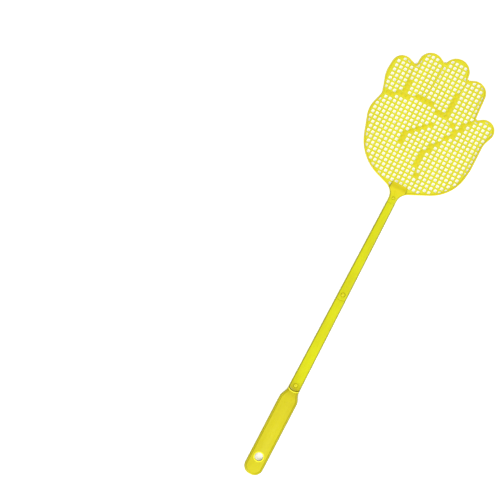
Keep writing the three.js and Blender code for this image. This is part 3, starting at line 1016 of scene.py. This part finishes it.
def make_camera():
    """A long lens straight above, turned so that the swatter leans to the right."""
    data = bpy.data.cameras.new("camera")
    data.sensor_width = 36.0
    data.lens = data.sensor_width * CAMERA_HEIGHT / FRAME_WIDTH
    camera = bpy.data.objects.new("camera", data)
    camera.location = (CAMERA_AIM[0], CAMERA_AIM[1], CAMERA_HEIGHT)
    camera.rotation_euler = (0, 0, math.radians(CAMERA_TILT))
    bpy.context.scene.collection.objects.link(camera)
    bpy.context.scene.camera = camera


def make_floor():
    """A pale sheet just under the swatter, a little self-lit so that it photographs as white."""
    size, drop = 6.0, 0.0004
    corners = [(x * size, y * size, -drop) for x, y in ((-1, -1), (1, -1), (1, 1), (-1, 1))]
    mesh = bpy.data.meshes.new("floor")
    mesh.from_pydata(corners, [], [(0, 1, 2, 3)])
    floor = bpy.data.objects.new("floor", mesh)
    bpy.context.scene.collection.objects.link(floor)
    material = bpy.data.materials.new("floor")
    material.use_nodes = True
    shader = material.node_tree.nodes["Principled BSDF"]
    shader.inputs["Base Color"].default_value = (0.93, 0.93, 0.93, 1)
    shader.inputs["Roughness"].default_value = 0.9
    shader.inputs["Specular IOR Level"].default_value = 0.1
    shader.inputs["Emission Color"].default_value = (1, 1, 1, 1)
    shader.inputs["Emission Strength"].default_value = 0.3
    mesh.materials.append(material)


def make_light(name, location, size, power):
    """A square softbox aimed at the swatter."""
    data = bpy.data.lights.new(name, "AREA")
    data.size = size
    data.energy = power
    light = bpy.data.objects.new(name, data)
    light.location = location
    light.rotation_euler = (-Vector(location)).to_track_quat("-Z", "Y").to_euler()
    bpy.context.scene.collection.objects.link(light)


def make_world(zenith, horizon):
    """A plain sky that darkens from overhead to the horizon."""
    world = bpy.data.worlds.new("studio")
    world.use_nodes = True
    nodes, links = world.node_tree.nodes, world.node_tree.links
    direction = nodes.new("ShaderNodeTexCoord")
    height = nodes.new("ShaderNodeSeparateXYZ")
    ramp = nodes.new("ShaderNodeMapRange")
    ramp.inputs["To Min"].default_value = horizon
    ramp.inputs["To Max"].default_value = zenith
    links.new(direction.outputs["Generated"], height.inputs["Vector"])
    links.new(height.outputs["Z"], ramp.inputs["Value"])
    links.new(ramp.outputs["Result"], nodes["Background"].inputs["Strength"])
    nodes["Background"].inputs["Color"].default_value = (1, 1, 1, 1)
    bpy.context.scene.world = world


make_camera()
make_floor()
make_world(zenith=0.7, horizon=0.3)
make_light("low_softbox", (-0.4, -1.1, 1.5), size=1.0, power=22)
make_light("high_softbox", (1.0, 0.6, 1.5), size=1.0, power=15)
bpy.context.scene.view_settings.view_transform = "Standard"

grip_material, shaft_material, mesh_material = grip_plastic(), shaft_plastic(), mesh_plastic()
bead_highlight_material, button_material = bead_highlight_plastic(), button_plastic()

lower = shaft_bar("lower_bar", GRIP_SEAM, MIDDLE_SEAM, GRIP_END_DROP)
combine(lower, socket_cutters(GRIP_SEAM), "DIFFERENCE")
combine(lower, [tongue(MIDDLE_SEAM)], "UNION")
upper = shaft_bar("upper_bar", MIDDLE_SEAM, NECK_SEAM, OTHER_END_DROP)
combine(upper, socket_cutters(MIDDLE_SEAM), "DIFFERENCE")
combine(upper, [tongue(NECK_SEAM)], "UNION")

grip_body = grip()
beads = grip_beads()
grip_finger = snap_finger("grip_finger", GRIP_SEAM)
middle_finger = snap_finger("middle_finger", MIDDLE_SEAM)
neck_finger = snap_finger("neck_finger", NECK_SEAM)
hand = head()

# Name, mesh, body, CAD node that it stands for, record slot and material of each piece
PIECES = [
    ("grip_moulding", grip_body, "grip", "grip", "grip_plastic", grip_material),
    ("grip_beads", beads, "grip", None, "grip_plastic", bead_highlight_material),
    ("grip_button_finger", grip_finger, "grip_button", "grip_snap_button", "grip_plastic", button_material),
    ("lower_shaft_moulding", lower, "lower_shaft", "lower_shaft", "shaft_plastic", shaft_material),
    ("middle_button_finger", middle_finger, "middle_button", "middle_snap_button", "shaft_plastic",
     button_material),
    ("upper_shaft_moulding", upper, "upper_shaft", "upper_shaft", "shaft_plastic", shaft_material),
    ("neck_button_finger", neck_finger, "neck_button", "neck_snap_button", "shaft_plastic", button_material),
    ("head_moulding", hand, "head", "head", "mesh_plastic", mesh_material),
]
for piece_row in PIECES:
    finish_piece(*piece_row)
